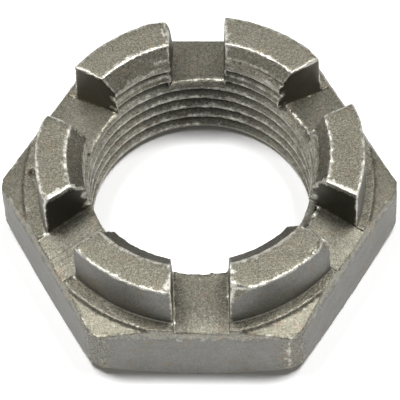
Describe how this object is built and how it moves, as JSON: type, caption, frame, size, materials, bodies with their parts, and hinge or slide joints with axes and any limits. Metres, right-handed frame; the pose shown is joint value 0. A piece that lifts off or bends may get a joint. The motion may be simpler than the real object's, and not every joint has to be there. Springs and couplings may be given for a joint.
{
  "type": "castle nut",
  "caption": "Low hexagon nut with a slotted crown and a threaded bore; a split pin through the slots locks it on a drilled spindle.",
  "frame": {"origin": "where the bore's axis meets the bearing face, the flat ring that the nut stands on", "axes": "+Z along the bore, from the bearing face to the slotted crown; -Y through the flat and slot nearest the viewer"},
  "size_m": [0.0412, 0.0364, 0.014],
  "materials": {
    "steel": "plain shot-blasted steel, matt with fine sparkle, bright on its worn edges"
  },
  "bodies": {
    "root": {"castle_nut": "steel"}
  },
  "joints": []
}
